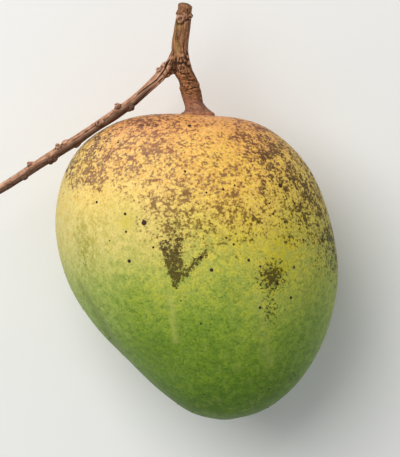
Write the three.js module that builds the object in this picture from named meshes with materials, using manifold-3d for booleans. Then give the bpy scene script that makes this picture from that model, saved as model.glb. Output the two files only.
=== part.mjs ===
// A mango as picked: one fruit with its woody stalk, whose cut stub and thin side twig
// fork above the fruit. It lies on one cheek.
// Millimetres, +Z up. The fruit's length runs along Y with the stalk end at +Y, its breadth
// runs along X with the beak side at -X, and its thickness runs along Z. The origin is the
// middle of the small flat spot on the cheek that it rests on.
import * as THREE from "three";
import { mergeVertices } from "three/addons/utils/BufferGeometryUtils.js";
import Module from "manifold-3d";

// ---------- Fruit ----------
const FRUIT_LENGTH = 107.5; // from the stalk seat to the tip
const FRUIT_BREADTH = 99.5; // from the beak side to the back
const FRUIT_THICKNESS = 90; // from cheek to cheek, before the lower one is pressed flat
const FLAT_SPOT_DEPTH = 0.6; // how far the lower cheek is pressed flat
const NOSE_FULLNESS = 0.09; // how much fuller the cheeks are than the outlines, nearer the tip
const FRUIT_SEGMENTS = 64; // round the fruit
const FRUIT_RINGS = 40; // from the stalk seat to the tip

// Both outlines run from the stalk seat to the tip. Each point is [share of the breadth
// along X, share of the length along Y], counted from the stalk seat.
const BEAK_SIDE = [
  [0, 0],
  [-0.15, 0.003],
  [-0.262, -0.014],
  [-0.353, -0.055],
  [-0.421, -0.106],
  [-0.476, -0.19],
  [-0.508, -0.32],
  [-0.498, -0.442],
  [-0.452, -0.57],
  [-0.362, -0.695],
  [-0.248, -0.804],
  [-0.127, -0.91],
  [-0.02, -0.977],
  [0.095, -1],
];
const BACK_SIDE = [
  [0, 0],
  [0.135, -0.009],
  [0.227, -0.035],
  [0.315, -0.094],
  [0.39, -0.176],
  [0.444, -0.285],
  [0.48, -0.41],
  [0.492, -0.52],
  [0.474, -0.64],
  [0.428, -0.76],
  [0.34, -0.884],
  [0.226, -0.966],
  [0.095, -1],
];

// ---------- Woody stalk ----------
const SEAT_GAP = 0.3; // between the stalk's foot and the skin
const COLLAR_DIAMETER = 10.6; // where the stalk flares onto the fruit
const STALK_DIAMETER = 7; // between the fruit and the fork
const STUB_DIAMETER = 5.9; // above the fork
const STALK_HEIGHT = 39.2; // from the stalk seat to the cut end of the stub
const FORK_HEIGHT = 18.5; // from the stalk seat to the fork
const STALK_LEAN = 6.6; // how far the fork stands off the seat, towards the beak side
const STALK_SINK = 2; // how far the collar reaches into the fruit before it is trimmed to the skin

// ---------- Side twig ----------
const TWIG_DIAMETER = 3.4;
const TWIG_ROOT_DIAMETER = 5.4; // where it leaves the fork
const TWIG_TIP_DIAMETER = 2.2; // at its dried end
const TWIG_CLEARANCE = 0.15; // between the twig and the shoulder it passes, seen from above
const TWIG_LIFT = 7; // how far above the fruit's middle plane it passes the shoulder
const TWIG_REACH = 44; // from the shoulder to its dried end
const TWIG_SLOPE = 32; // degrees that its free end points down from -X towards -Y

const SKIN = new THREE.MeshStandardMaterial({ color: 0xa8a048, roughness: 0.5, metalness: 0 });
const BARK = new THREE.MeshStandardMaterial({ color: 0x8a6047, roughness: 0.85, metalness: 0 });

const wasm = await Module();
wasm.setup();

// ---------- Solids and booleans ----------
function toSolid(geometry) {
  const bare = geometry.clone();
  bare.deleteAttribute("normal");
  bare.deleteAttribute("uv");
  const merged = mergeVertices(bare, 1e-4);
  return new wasm.Manifold(
    new wasm.Mesh({
      numProp: 3,
      vertProperties: new Float32Array(merged.attributes.position.array),
      triVerts: new Uint32Array(merged.index.array),
    }),
  );
}

function toGeometry(solid) {
  const mesh = solid.getMesh();
  const places = new THREE.BufferAttribute(new Float32Array(mesh.vertProperties), 3);
  const geometry = new THREE.BufferGeometry().setAttribute("position", places);
  geometry.setIndex(new THREE.BufferAttribute(new Uint32Array(mesh.triVerts), 1));
  geometry.computeVertexNormals();
  return geometry;
}

// ---------- Fruit: rings that run through both outlines and both cheeks ----------
function outline(shares) {
  const points = shares.map(
    ([across, along]) => new THREE.Vector3(across * FRUIT_BREADTH, along * FRUIT_LENGTH, 0),
  );
  const curve = new THREE.CatmullRomCurve3(points, false, "centripetal");
  curve.arcLengthDivisions = 800;
  return curve;
}

const beakSide = outline(BEAK_SIDE);
const backSide = outline(BACK_SIDE);

// The ring at a share of the way from the stalk seat to the tip: its middle, half its
// breadth as a vector, and how far its cheeks stand out beside those of the other rings.
function ring(share) {
  const beak = beakSide.getPointAt(share);
  const back = backSide.getPointAt(share);
  const middle = beak.clone().add(back).multiplyScalar(0.5);
  const halfBreadth = back.clone().sub(beak).multiplyScalar(0.5);
  const nose = Math.sin(Math.PI * share * share) ** 2; // 1 at seven tenths of the way, 0 at both ends
  const fullness = halfBreadth.length() * (1 + NOSE_FULLNESS * nose);
  return { middle, halfBreadth, fullness };
}

// The ring whose cheeks stand out furthest, so the fruit rests on it.
const fullestRing = Array.from({ length: 401 }, (_, i) => ring(i / 400)).reduce((best, next) =>
  next.fullness > best.fullness ? next : best,
);

function fruitGeometry() {
  const geometry = new THREE.SphereGeometry(1, FRUIT_SEGMENTS, FRUIT_RINGS);
  const position = geometry.attributes.position;
  const direction = new THREE.Vector3();
  for (let i = 0; i < position.count; i += 1) {
    direction.fromBufferAttribute(position, i);
    const share = Math.acos(THREE.MathUtils.clamp(direction.y, -1, 1)) / Math.PI;
    const turn = Math.atan2(direction.z, direction.x);
    const atPole = share < 1e-6 || share > 1 - 1e-6;
    const { middle, halfBreadth, fullness } = ring(share);
    const place = middle.clone();
    if (!atPole) {
      place.addScaledVector(halfBreadth, Math.cos(turn));
      place.z = (FRUIT_THICKNESS / 2) * (fullness / fullestRing.fullness) * Math.sin(turn);
    }
    position.setXYZ(i, place.x, place.y, place.z);
  }
  return geometry;
}

// The same skin moved outwards by a gap, to trim what seats on the fruit.
function swollen(geometry, gap) {
  const bare = geometry.clone();
  bare.deleteAttribute("normal");
  bare.deleteAttribute("uv");
  const merged = mergeVertices(bare, 1e-4);
  merged.computeVertexNormals();
  const { position, normal } = merged.attributes;
  for (let i = 0; i < position.count; i += 1) {
    position.setXYZ(
      i,
      position.getX(i) + gap * normal.getX(i),
      position.getY(i) + gap * normal.getY(i),
      position.getZ(i) + gap * normal.getZ(i),
    );
  }
  return merged;
}

// ---------- Limbs: a closed cylinder bent along a curve, with its own diameter at each point ----------
function limb(points, diameters, sides, steps) {
  const curve = new THREE.CatmullRomCurve3(points, false, "centripetal");
  const widths = new THREE.CatmullRomCurve3(
    diameters.map((d, i) => new THREE.Vector3(i, d, 0)),
    false,
    "catmullrom",
    0,
  );
  const geometry = new THREE.CylinderGeometry(1, 1, 1, sides, steps);
  const position = geometry.attributes.position;
  const up = new THREE.Vector3(0, 0, 1);
  for (let i = 0; i < position.count; i += 1) {
    const share = THREE.MathUtils.clamp(position.getY(i) + 0.5, 0, 1);
    const along = curve.getTangent(share);
    const sideways = along.clone().cross(up).normalize();
    const upwards = sideways.clone().cross(along).normalize();
    const radius = widths.getPoint(share).y / 2;
    const place = curve.getPoint(share);
    place.addScaledVector(sideways, radius * position.getX(i));
    place.addScaledVector(upwards, radius * position.getZ(i));
    position.setXYZ(i, place.x, place.y, place.z);
  }
  return { curve, widths, solid: toSolid(geometry) };
}

// A rounded swelling on a limb, such as the scar of a fallen flower stalk or a bud.
function knot(along, share, turnDegrees, size) {
  const place = along.curve.getPoint(share);
  const tangent = along.curve.getTangent(share);
  const radius = along.widths.getPoint(share).y / 2;
  const outwards = tangent.clone().cross(new THREE.Vector3(0, 0, 1)).normalize();
  outwards.applyAxisAngle(tangent, THREE.MathUtils.degToRad(turnDegrees));
  place.addScaledVector(outwards, radius - size * 0.35);
  const geometry = new THREE.SphereGeometry(size, 10, 8);
  geometry.scale(1, 1.35, 1);
  const stance = new THREE.Quaternion().setFromUnitVectors(new THREE.Vector3(0, 1, 0), tangent);
  geometry.applyQuaternion(stance);
  geometry.translate(place.x, place.y, place.z);
  return toSolid(geometry);
}

function point(x, y, z = 0) {
  return new THREE.Vector3(x, y, z);
}

// ---------- The main stalk: collar, neck, fork and cut stub, from the fruit upwards ----------
const COLLAR_FLARE = 3.9; // height at which the collar has narrowed to the stalk
const RING_SWELL = 0.5; // how much the ring scar between fruit and fork stands proud
const stubLean = STALK_LEAN - 1.8; // the stub leans back over the seat
const mainStalk = limb(
  [
    point(-0.3, -STALK_SINK),
    point(-0.75, 0.6),
    point(-0.27 * STALK_LEAN, COLLAR_FLARE),
    point(-0.5 * STALK_LEAN, 0.51 * FORK_HEIGHT),
    point(-0.84 * STALK_LEAN, 0.82 * FORK_HEIGHT),
    point(-1.02 * STALK_LEAN, FORK_HEIGHT + 0.12 * STALK_HEIGHT),
    point(-0.9 * STALK_LEAN, FORK_HEIGHT + 0.3 * STALK_HEIGHT),
    point(-stubLean, STALK_HEIGHT),
  ],
  [
    COLLAR_DIAMETER + 1.4,
    COLLAR_DIAMETER - 0.4,
    STALK_DIAMETER,
    STALK_DIAMETER + RING_SWELL,
    STALK_DIAMETER,
    STUB_DIAMETER + 0.3,
    STUB_DIAMETER,
    STUB_DIAMETER - 0.1,
  ],
  18,
  40,
);

// ---------- The side twig: from the fork, past the shoulder, to its dried end ----------
function pastShoulder(share, lift) {
  const place = beakSide.getPointAt(share);
  const tangent = beakSide.getTangentAt(share);
  const outwards = point(tangent.y, -tangent.x).normalize();
  place.addScaledVector(outwards, TWIG_DIAMETER / 2 + TWIG_CLEARANCE);
  place.z = lift;
  return place;
}

const twigRoot = point(-0.98 * STALK_LEAN, FORK_HEIGHT + 4.4);
const twigBend = point(-1.63 * STALK_LEAN, FORK_HEIGHT - 2, 0.15 * TWIG_LIFT);
const shoulderNear = pastShoulder(0.19, 0.95 * TWIG_LIFT);
const shoulderFar = pastShoulder(0.245, TWIG_LIFT);
const midSpan = twigBend.clone().lerp(shoulderNear, 0.5).add(point(0.2, -1.1, 0.1 * TWIG_LIFT));
const slope = THREE.MathUtils.degToRad(TWIG_SLOPE);
const reach = point(-Math.cos(slope), -Math.sin(slope)).multiplyScalar(TWIG_REACH);
const sideTwig = limb(
  [
    twigRoot,
    twigBend,
    midSpan,
    shoulderNear,
    shoulderFar,
    shoulderFar.clone().addScaledVector(reach, 0.34).add(point(0, -0.2, 0.5)),
    shoulderFar.clone().addScaledVector(reach, 0.68).add(point(0, -0.4, -0.6)),
    shoulderFar.clone().add(reach).add(point(0, 0, -0.35 * TWIG_LIFT)),
  ],
  [
    TWIG_ROOT_DIAMETER,
    TWIG_ROOT_DIAMETER - 1,
    TWIG_DIAMETER,
    TWIG_DIAMETER + 0.1,
    TWIG_DIAMETER,
    TWIG_DIAMETER - 0.1,
    TWIG_DIAMETER - 0.3,
    TWIG_TIP_DIAMETER,
  ],
  14,
  64,
);

// ---------- Knots: [share of the limb, turn round it in degrees, size] ----------
const STUB_KNOTS = [
  [0.93, -80, 1.5],
  [0.94, 10, 1.1],
  [0.95, 165, 1.1],
  [0.64, 200, 1.5],
];
const TWIG_KNOTS = [
  [0.15, -30, 1.3],
  [0.36, -5, 1.15],
  [0.33, -160, 1.05],
  [0.45, -80, 1],
  [0.63, -25, 1.15],
  [0.6, 170, 1.05],
  [0.69, 185, 1.15],
  [0.76, 10, 1],
  [0.8, -150, 0.9],
  [0.9, 5, 0.95],
  [0.93, 160, 0.85],
];

// ---------- Assembly ----------
const fruitShape = fruitGeometry();

// The fruit is lifted so that the flat spot on its lower cheek lies on z = 0 at the origin.
const lift = FRUIT_THICKNESS / 2 - FLAT_SPOT_DEPTH;
const table = new THREE.BoxGeometry(FRUIT_BREADTH, FRUIT_LENGTH, 20);
table.translate(fullestRing.middle.x, fullestRing.middle.y, -10 - lift);
const fruitSolid = toSolid(fruitShape).subtract(toSolid(table));

let stalkSolid = mainStalk.solid.add(sideTwig.solid);
for (const [share, turn, size] of STUB_KNOTS) {
  stalkSolid = stalkSolid.add(knot(mainStalk, share, turn, size));
}
for (const [share, turn, size] of TWIG_KNOTS) {
  stalkSolid = stalkSolid.add(knot(sideTwig, share, turn, size));
}
stalkSolid = stalkSolid.subtract(toSolid(swollen(fruitShape, SEAT_GAP)));

const fruit = new THREE.Mesh(toGeometry(fruitSolid), SKIN);
fruit.name = "mango_fruit";
const stalk = new THREE.Mesh(toGeometry(stalkSolid), BARK);
stalk.name = "woody_stalk";

const mango = new THREE.Group();
mango.name = "mango";
mango.add(fruit, stalk);
mango.position.set(-fullestRing.middle.x, -fullestRing.middle.y, lift);

export default mango;
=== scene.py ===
# %% [markdown]
# # A mango on its cheek
# A picked mango lies on one cheek with its woody stalk in the air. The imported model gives
# two plain solids in metres: the fruit, and the stalk with its side twig. This file builds
# the finished skin, its pores and the bark around them, then a pale table, soft light and
# a camera that looks straight down on the upper cheek.

# %% The fixed frame
import math

import bpy
import numpy as np
from mathutils import Matrix, Vector, noise
from mathutils.bvhtree import BVHTree


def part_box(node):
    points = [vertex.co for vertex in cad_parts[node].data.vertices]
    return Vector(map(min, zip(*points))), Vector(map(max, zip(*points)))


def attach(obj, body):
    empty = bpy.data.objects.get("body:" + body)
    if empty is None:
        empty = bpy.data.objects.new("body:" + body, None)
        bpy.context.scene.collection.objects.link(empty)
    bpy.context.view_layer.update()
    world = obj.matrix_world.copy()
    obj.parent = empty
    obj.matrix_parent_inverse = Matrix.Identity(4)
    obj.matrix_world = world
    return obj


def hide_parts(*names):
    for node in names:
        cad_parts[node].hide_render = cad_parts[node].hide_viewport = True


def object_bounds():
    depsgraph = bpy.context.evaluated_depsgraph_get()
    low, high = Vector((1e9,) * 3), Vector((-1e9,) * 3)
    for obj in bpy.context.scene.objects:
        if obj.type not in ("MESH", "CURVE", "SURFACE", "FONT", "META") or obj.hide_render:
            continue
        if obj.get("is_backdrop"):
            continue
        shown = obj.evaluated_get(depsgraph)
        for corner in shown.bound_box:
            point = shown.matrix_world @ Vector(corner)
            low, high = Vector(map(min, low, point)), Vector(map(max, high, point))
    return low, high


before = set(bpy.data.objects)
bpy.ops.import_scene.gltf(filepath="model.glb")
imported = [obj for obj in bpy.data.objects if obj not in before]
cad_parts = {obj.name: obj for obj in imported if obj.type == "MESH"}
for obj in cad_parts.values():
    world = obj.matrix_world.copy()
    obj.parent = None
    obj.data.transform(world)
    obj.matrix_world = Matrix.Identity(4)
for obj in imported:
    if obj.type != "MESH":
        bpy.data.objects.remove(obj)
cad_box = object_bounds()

MM = 0.001
fruit_low, fruit_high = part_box("mango_fruit")
print("fruit solid", [round(size / MM, 1) for size in fruit_high - fruit_low], "mm")

# %% [markdown]
# Every place on the fruit is counted from the stalk seat, where the stalk grows into it.
# The seat is found by sending a ray down the fruit's length onto its stalk end, so it
# follows the solid. The fruit's middle plane runs through it, level with the table.

# %% The stalk seat
CHEEK_HEIGHT = 45 * MM  # from the middle plane to the top of the upper cheek
RAY_RUN = 50 * MM  # how far outside the fruit the ray starts

fruit_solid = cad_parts["mango_fruit"]
stalk_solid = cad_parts["woody_stalk"]
middle_z = fruit_high.z - CHEEK_HEIGHT
ray_start = Vector((0, fruit_high.y + RAY_RUN, middle_z))
_, seat, _, _ = fruit_solid.ray_cast(ray_start, Vector((0, -1, 0)))
print("stalk seat", [round(c / MM, 2) for c in seat], "mm")


# %% [markdown]
# A few helpers are used by every piece. An operator acts on all that is selected, so a
# piece is always selected alone first. Modifiers are applied as soon as they are set, and
# shapes that no operator makes, such as a groove that follows the skin, are pressed in by
# moving points along their normals.

# %% Helpers for pieces
def only(piece):
    bpy.ops.object.select_all(action="DESELECT")
    piece.select_set(True)
    bpy.context.view_layer.objects.active = piece


def apply_modifier(piece, kind, **settings):
    only(piece)
    bpy.ops.object.modifier_add(type=kind)
    modifier = piece.modifiers[-1]
    for name, value in settings.items():
        setattr(modifier, name, value)
    bpy.ops.object.modifier_apply(modifier=modifier.name)


def points_of(piece):
    flat = np.empty(len(piece.data.vertices) * 3)
    piece.data.vertices.foreach_get("co", flat)
    return flat.reshape(-1, 3)


def normals_of(piece):
    flat = np.empty(len(piece.data.vertices) * 3, np.float32)
    piece.data.vertex_normals.foreach_get("vector", flat)
    return flat.reshape(-1, 3).astype(float)


def press(piece, depth):
    """Moves each point into the surface by its own depth; a negative depth raises it."""
    moved = points_of(piece) - normals_of(piece) * depth[:, None]
    piece.data.vertices.foreach_set("co", moved.ravel())
    piece.data.update()


def soft(value, low, high):
    """0 below low, 1 above high, and a smooth step between them."""
    share = np.clip((value - low) / (high - low), 0, 1)
    return share * share * (3 - 2 * share)


def hump(value, middle, width):
    """1 at the middle, falling smoothly to 0 at about twice the width on either side."""
    return np.exp(-(((value - middle) / width) ** 2))


def waves(points, size, seed=0):
    """Smooth random values between about -1 and 1, with waves of that size."""
    shift = Vector((seed * 7.3, seed * 3.1, seed * 5.7))
    return np.array([noise.noise(Vector(point) / size + shift) for point in points])


def paint(piece, name, values):
    """Keeps one number per point, which a material can read by its name."""
    layer = piece.data.attributes.new(name, "FLOAT", "POINT")
    layer.data.foreach_set("value", np.asarray(values, np.float32))


# %% [markdown]
# ## The fruit
# The fruit is one smooth closed body. A sphere with poles would pinch its skin at both
# ends, so it starts as a cube, cut into a grid and cast into a ball: that gives even
# squares all over. The ball is stretched to the solid's box and wrapped onto the solid,
# smoothed to spread its squares, wrapped again, and then subdivided twice so that the
# solid's facets disappear.

# %% Fruit: the even ball wrapped onto the solid
GRID_CUTS = 29  # in each cube edge, so 30 squares
SUBDIVISIONS = 2
SPREAD_ROUNDS = (8, 4)  # smoothing after each of the first two wraps

bpy.ops.object.select_all(action="DESELECT")
bpy.ops.mesh.primitive_cube_add(size=1)
fruit = bpy.context.object
fruit.name = "ripe_fruit"
fruit.data.name = "ripe_fruit"
bpy.ops.object.mode_set(mode="EDIT")
bpy.ops.mesh.select_all(action="SELECT")
bpy.ops.mesh.subdivide(number_cuts=GRID_CUTS)
bpy.ops.object.mode_set(mode="OBJECT")
apply_modifier(fruit, "CAST", factor=1, radius=0.5, size=0.5, use_radius_as_size=False)

bpy.ops.object.mode_set(mode="EDIT")
bpy.ops.mesh.select_all(action="SELECT")
bpy.ops.transform.resize(value=fruit_high - fruit_low)
bpy.ops.transform.translate(value=(fruit_high + fruit_low) / 2)
bpy.ops.object.mode_set(mode="OBJECT")
for rounds in SPREAD_ROUNDS:
    apply_modifier(fruit, "SHRINKWRAP", target=fruit_solid, wrap_method="NEAREST_SURFACEPOINT")
    apply_modifier(fruit, "SMOOTH", factor=0.5, iterations=rounds)
apply_modifier(fruit, "SHRINKWRAP", target=fruit_solid, wrap_method="NEAREST_SURFACEPOINT")
apply_modifier(fruit, "SUBSURF", levels=SUBDIVISIONS, render_levels=SUBDIVISIONS)
bpy.ops.object.shade_smooth()
print("fruit squares", len(fruit.data.polygons))

# %% [markdown]
# A real skin is never a perfect egg. It has long shallow waves, a seat that dips slightly
# round the stalk, and on the beak side a shallow crease that runs down towards the tip.
# All of them are pressed inwards, by fractions of a millimetre, so the fruit keeps its
# size, and none of them reaches the flat spot that it lies on.

# %% Fruit: waves, seat and crease
def from_seat(piece):
    """Places in millimetres: across, along (minus is towards the tip) and height."""
    return ((points_of(piece) - np.array(seat)) / MM).T


def near_line(across, along, start, end, width):
    """1 on the line from start to end, falling smoothly to 0 at about twice the width."""
    start, end = np.array(start, float), np.array(end, float)
    way = end - start
    share = ((across - start[0]) * way[0] + (along - start[1]) * way[1]) / (way @ way)
    share = np.clip(share, 0, 1)
    gap = np.hypot(across - start[0] - share * way[0], along - start[1] - share * way[1])
    return hump(gap, 0, width)


# Depth and wave size in millimetres, and a seed for each set of waves.
SKIN_WAVES = [(0.09, 26, 1), (0.04, 9, 2), (0.018, 3.2, 3)]
SEAT_DIP = 0.7
SEAT_DIP_WIDTH = 7.5
CREASE_DEPTH = 0.26
LOWER_CREASE_DEPTH = 0.16

across, along, height = from_seat(fruit)
upper = soft(height, -4, 6)  # 1 on the upper cheek, 0 on the lower one
clear_of_table = soft(height, -42, -36)
stalk_end = along > -20
skin = points_of(fruit)
crease = near_line(across, along, (-40.5, -60), (-28, -82), 1.2) * upper
crease_below = near_line(across, along, (-36, -69), (-24, -87), 1.0) * upper
depth = SEAT_DIP * hump(np.hypot(across, height), 0, SEAT_DIP_WIDTH) * stalk_end
for wave_depth, size, seed in SKIN_WAVES:
    depth += wave_depth * (1 + waves(skin, size * MM, seed))
depth += CREASE_DEPTH * crease + LOWER_CREASE_DEPTH * crease_below
press(fruit, depth * clear_of_table * MM)
print("skin pressed in by up to", round(float(depth.max()), 2), "mm")

# %% [markdown]
# ## The colours of the skin, painted by place
# The skin ripens from the stalk end down: orange at the shoulders, yellow below, then
# yellow-green and a deep green tip. Over that lie brown blotches of scuffed wax, darkest on
# the back and darkened further as painted shade where the beak edge turns away from the top,
# a stain shaped like a wedge, a second stain in a yellow halo, a pale bloom on the beak side,
# and a cream painted sheen above the bloom, where the light falls brightest. Each is painted
# as one number per point, with soft edges: bands along and across the fruit, with round or
# oval spots added where this fruit has them. The material later breaks these soft fields up
# with noise, so that none of them looks airbrushed.

# %% Skin: ripeness
def field(value, table):
    """Reads a list of (place, value) pairs, joined by straight lines."""
    places, values = zip(*table)
    return np.interp(value, places, values)


def oval(x, y, width, length):
    """A soft spot at that place, on both cheeks: 1 in its middle and 0 well outside it."""
    return hump(across, x, width) * hump(along, y, length)


# Along, and how ripe the skin is there.
RIPENESS_DOWN = [
    (-107, 0), (-90, 0.12), (-72, 0.27), (-58, 0.4), (-45, 0.55), (-30, 0.72), (-12, 0.88), (0, 1),
]
# Across, along, width, length, and how much riper (or, below 0, greener) it is.
RIPENESS_SPOTS = [
    (2, -40, 16, 14, -0.06), (22, -66, 8, 10, 0.06), (4, -69, 9, 12, -0.06),
    (-31, -69, 9, 12, -0.05), (-27, -32, 9, 9, -0.06), (-24, -52, 9, 8, -0.05),
]
GREENER_BACK = 0.14
GREENER_BEAK_SIDE = 0.13
RIPENESS_WAVES = 0.05

ripeness = field(along, RIPENESS_DOWN)
ripeness -= GREENER_BACK * soft(across, 14, 44) * soft(along, -80, -20)
ripeness -= GREENER_BEAK_SIDE * soft(-across, 28, 48) * soft(along, -70, -8)
ripeness += RIPENESS_WAVES * waves(skin, 22 * MM, 4) * soft(along, -104, -80)
for x, y, width, length, change in RIPENESS_SPOTS:
    ripeness += change * oval(x, y, width, length)
paint(fruit, "ripeness", np.clip(ripeness, 0, 1))
print("ripeness", round(float(ripeness.min()), 2), "to", round(float(ripeness.max()), 2))

# %% Skin: blotches
# Across, and how far along the lowest blotches reach there.
LOWEST_BLOTCH = [
    (-50, -24), (-46, -30), (-41, -32), (-35, -33), (-24, -35), (-20, -44), (-14, -50), (-8, -58),
    (-3, -54), (1, -50), (10, -49), (15, -46), (22, -46), (29, -48), (36, -47), (44, -60), (48, -68),
]
# Across, along, width of a cluster, and how much denser (or, below 0, clearer) it is.
CLUSTERS = [
    (-35, -10, 8, 0.1), (-15, -3, 9, 0.3), (3, -7, 7, -0.25), (22, -11, 9, 0.35), (37, -28, 10, 0.2),
    (-8, -35, 9, 0.1), (7, -33, 6, 0.1), (-11, -45, 7, 0.25), (46, -45, 9, 0.3), (-15, -18, 8, 0.05),
    (12, -15, 5, -0.2), (30, -5, 5, -0.2), (-38, -20, 9, 0.25), (20, -30, 6, -0.1), (0, -20, 8, 0.12),
    (4, -41, 6, 0.22), (18, -38, 7, 0.3), (12, -46, 6, 0.25), (30, -44, 6, 0.15), (38, -55, 6, 0.2),
    (-43, -21, 6, 0.35),
]
BLOTCH_DENSITY = 0.72
EDGE_WAVES = 3  # how far the blotches' lower edge wanders, in millimetres

edge = field(across, LOWEST_BLOTCH) + EDGE_WAVES * waves(skin, 12 * MM, 5)
blotches = BLOTCH_DENSITY * soft(along - edge, -6, 20)
for x, y, width, change in CLUSTERS:
    blotches += change * oval(x, y, width, width) * upper
paint(fruit, "blotches", np.clip(blotches, 0, 1))
print("blotched share of the skin", round(float((blotches > 0.5).mean()), 2))

# %% Skin: where the blotches are darkest, with painted shade at the beak edge
facing_up = normals_of(fruit)[:, 2]
back = soft(across, 2, 32) * soft(along, -75, -45)
# painted shade: the blotches are darker where the beak edge turns away from the top
beak_edge_shade = soft(-facing_up, -0.5, -0.15) * soft(-across, 20, 30) * soft(along, -36, -20)
blotch_darkness_and_shade = back + 1.2 * beak_edge_shade
blotch_darkness_and_shade += 0.7 * oval(-8, -2, 18, 4) + 0.5 * oval(-33, -9, 10, 8)
blotch_darkness_and_shade += 0.3 * waves(skin, 7 * MM, 13)
paint(fruit, "blotch_darkness_and_shade", np.clip(blotch_darkness_and_shade, 0, 1))
print("darkest share of the skin", round(float((blotch_darkness_and_shade > 0.5).mean()), 2))

# %% Skin: stains, halo and olive patches
# Across, along, width, length, and strength.
STAIN_SPOTS = [
    (24.6, -56, 4.8, 5.4, 1), (23.6, -68, 3.2, 5, 0.5), (33, -91, 3.5, 2.6, 0.34),
    (-31, -75, 2.4, 4.5, 0.26), (35, -38, 4, 3, 0.3), (-18, -38, 2.5, 2.2, 0.45),
]
HALO_SPOTS = [(27.5, -49, 4.5, 8, 1.3), (-24.5, -37.5, 2.6, 3.6, 0.8), (16, -40, 5, 7, 0.5)]
OLIVE_SPOTS = [
    (-38, -47, 4.5, 11, 0.6), (-43, -39, 3, 5, 0.5), (12, -60, 3, 4, 0.5),
    (38, -62, 4, 6, 0.4), (-33, -38, 3, 5, 0.35), (-39, -55, 2.4, 6, 0.9),
]
WEDGE_HALF_WIDTH = [(-61, 0.5), (-53, 3), (-42, 4.6)]  # along, and half the wedge's width
WEDGE_MIDDLE = [(-61, -7.6), (-42, -9.2)]  # along, and across
RAGGED_EDGE = 1.1


def spots(table):
    """Soft spots on the upper cheek, added up."""
    total = sum(strength * oval(x, y, width, length) for x, y, width, length, strength in table)
    return total * upper


ragged = RAGGED_EDGE * waves(skin, 1.6 * MM, 16)
inside = field(along, WEDGE_HALF_WIDTH) - np.abs(across - field(along, WEDGE_MIDDLE))
wedge = soft(inside + ragged, -1.6, 2) * soft(along, -63, -59) * soft(-along, 36, 52)
arm = near_line(across, along, (-6, -56), (2, -48), 1.5)
stains = np.clip(1.05 * wedge + 0.85 * arm, 0, 1) * upper + spots(STAIN_SPOTS)
paint(fruit, "stains", np.clip(stains, 0, 1))
paint(fruit, "halo", np.clip(spots(HALO_SPOTS), 0, 1))
paint(fruit, "olive", np.clip(spots(OLIVE_SPOTS), 0, 1))
print("stained share of the skin", round(float((stains > 0.5).mean()), 3))

# %% Skin: bloom, painted sheen, streaks and crease
bloom = soft(-across, 18, 47) * soft(-along, 28, 52) * soft(along, -98, -70)
bloom += 0.5 * soft(-across, 36, 48) * soft(-along, 12, 26) * soft(along, -50, -34)
bloom += 0.3 * soft(across, 20, 46) * soft(-along, 45, 75) * soft(along, -98, -75)
# painted sheen: cream on the upper beak side, where the light falls brightest
painted_sheen = soft(-across, -14, 26) * soft(along, -64, -40) * soft(-along, -2, 12)
streak = near_line(across, along, (-9.5, -62), (-8, -78), 1.1)
streak += 0.5 * near_line(across, along, (20, -62), (24, -86), 1.6) + 0.3 * crease
paint(fruit, "bloom", np.clip(bloom, 0, 1))
paint(fruit, "painted_sheen", painted_sheen)
paint(fruit, "streak", np.clip(streak, 0, 1) * upper)
# the crease field is laid on the skin as painted shade, a darker green
paint(fruit, "crease", np.clip(crease + 0.7 * crease_below, 0, 1))
print("share of the skin in bloom", round(float((bloom > 0.5).mean()), 2))

# %% Fruit: it rides on the only body and stands for its solid
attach(fruit, "root")
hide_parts("mango_fruit")

# %% [markdown]
# ## Pores
# Mango skin breathes through small corky pores, which darken to brown-black points of
# about a millimetre. They are real bumps, so each is a low closed dome: a small ball, cut
# below its middle, closed and flattened. One is modelled and copied. Those that give
# this fruit its face are placed from a list, and the rest are scattered evenly, from a fixed
# seed, over the parts of the skin that no one looks at first.

# %% Pores: one low dome
PORE_HEIGHT = 0.24  # share of its radius that a pore stands proud
PORE_CUT = -0.3  # share of its radius where the ball is cut, so a skirt sinks into the skin

bpy.ops.object.select_all(action="DESELECT")
bpy.ops.mesh.primitive_uv_sphere_add(segments=12, ring_count=8, radius=1)
dome = bpy.context.object
bpy.ops.object.mode_set(mode="EDIT")
bpy.ops.mesh.select_all(action="SELECT")
bpy.ops.mesh.bisect(plane_co=(0, 0, PORE_CUT), plane_no=(0, 0, 1), clear_inner=True, use_fill=True)
bpy.ops.mesh.select_all(action="SELECT")
bpy.ops.transform.resize(value=(1, 1, PORE_HEIGHT))
bpy.ops.object.mode_set(mode="OBJECT")
print("faces in a pore", len(dome.data.polygons))

# %% Pores: placed from a list, and scattered
# Across and along from the seat, and radius, in millimetres.
PORES_BY_HAND = [
    (-34.5, -31, 0.45), (-24.7, -35, 0.5), (-18.3, -38, 0.85), (-3.2, -5, 0.7), (-4.6, -20.8, 0.4),
    (-27.5, -10.6, 0.4), (27.5, -25.4, 0.8), (32.5, -31.4, 0.45), (23.7, -31.4, 0.35), (25, -35, 0.4),
    (8.1, -26.8, 0.4), (2.5, -27.9, 0.35), (12, -25.4, 0.35), (-24.4, -41, 0.4), (-23.3, -50.8, 0.6),
    (-15.2, -46.2, 0.4), (11.6, -45.2, 0.4), (9.2, -43, 0.35), (4.2, -53.7, 0.6), (0.7, -49.4, 0.45),
    (16.6, -50.5, 0.5), (20.5, -52.6, 0.4), (20.8, -55.4, 0.35), (26.1, -58.2, 0.6), (32.1, -53, 0.45),
    (31, -63.2, 0.5), (20.5, -66.4, 0.5), (0.7, -71.7, 0.35), (29, -67.4, 0.25), (37, -45.5, 0.3),
    (1.8, -96.7, 0.3), (-6, -64, 0.25), (24, -95, 0.35), (-30, -44, 0.25),
]
PORES_SCATTERED = 90
SCATTER_SEED = 11
SMALLEST_PORE = 0.2
LARGEST_PORE = 0.42
FACING_CAMERA = 0.35  # skin that faces up more than this has only the listed pores
CLEAR_OF_TABLE = 2 * MM
DROP = 20 * MM  # how far above the fruit the ray for a placed pore starts
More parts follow.
